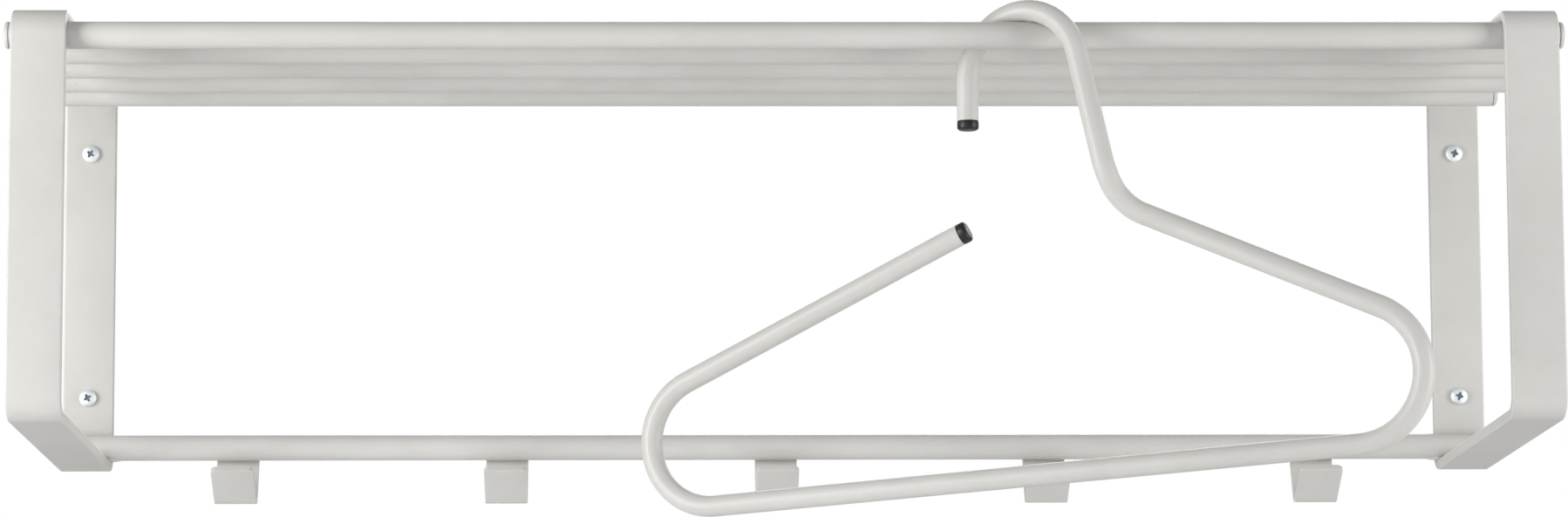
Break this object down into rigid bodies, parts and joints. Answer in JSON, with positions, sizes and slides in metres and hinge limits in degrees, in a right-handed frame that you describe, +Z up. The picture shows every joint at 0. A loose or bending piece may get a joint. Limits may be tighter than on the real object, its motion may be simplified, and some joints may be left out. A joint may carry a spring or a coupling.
{
  "type": "wall hook rack",
  "caption": "Wall coat rack of bent flat bar: a hat shelf of round tubes over a rail of welded V-shaped coat hooks, with one bent-tube clothes hanger hanging from its front tube.",
  "frame": {"origin": "on the wall, midway between the two side frames and level with the middle of their rear legs", "axes": "+X to the right for someone who faces the rack, +Y into the wall, +Z up"},
  "size_m": [0.8594, 0.3714, 0.2797],
  "materials": {
    "powder_coat": "satin light grey powder coat",
    "bright_zinc": "bright zinc",
    "black_plastic": "matte black"
  },
  "bodies": {
    "rack": {"side_frame_left": "powder_coat", "side_frame_right": "powder_coat", "shelf_tube_1": "powder_coat", "shelf_tube_1_cap_left": "powder_coat", "shelf_tube_1_cap_right": "powder_coat", "shelf_tube_2": "powder_coat", "shelf_tube_2_cap_left": "powder_coat", "shelf_tube_2_cap_right": "powder_coat", "shelf_tube_3": "powder_coat", "shelf_tube_3_cap_left": "powder_coat", "shelf_tube_3_cap_right": "powder_coat", "shelf_tube_4": "powder_coat", "shelf_tube_4_cap_left": "powder_coat", "shelf_tube_4_cap_right": "powder_coat", "shelf_tube_5": "powder_coat", "shelf_tube_5_cap_left": "powder_coat", "shelf_tube_5_cap_right": "powder_coat", "hook_rail": "powder_coat", "hook_rail_cap_left": "powder_coat", "hook_rail_cap_right": "powder_coat", "coat_hook_1": "powder_coat", "coat_hook_2": "powder_coat", "coat_hook_3": "powder_coat", "coat_hook_4": "powder_coat", "coat_hook_5": "powder_coat", "wall_screw_left_upper": "bright_zinc", "wall_screw_left_lower": "bright_zinc", "wall_screw_right_upper": "bright_zinc", "wall_screw_right_lower": "bright_zinc"},
    "hanger": {"hanger_tube": "powder_coat", "hanger_plug_tip": "black_plastic", "hanger_plug_shoulder": "black_plastic"}
  },
  "joints": [
    {"name": "hanger_swing", "type": "hinge", "parent": "rack", "child": "hanger", "pos_m": [0.1305, -0.2362, 0.1047], "axis": [1, 0, 0], "range_deg": [-60, 38]}
  ]
}
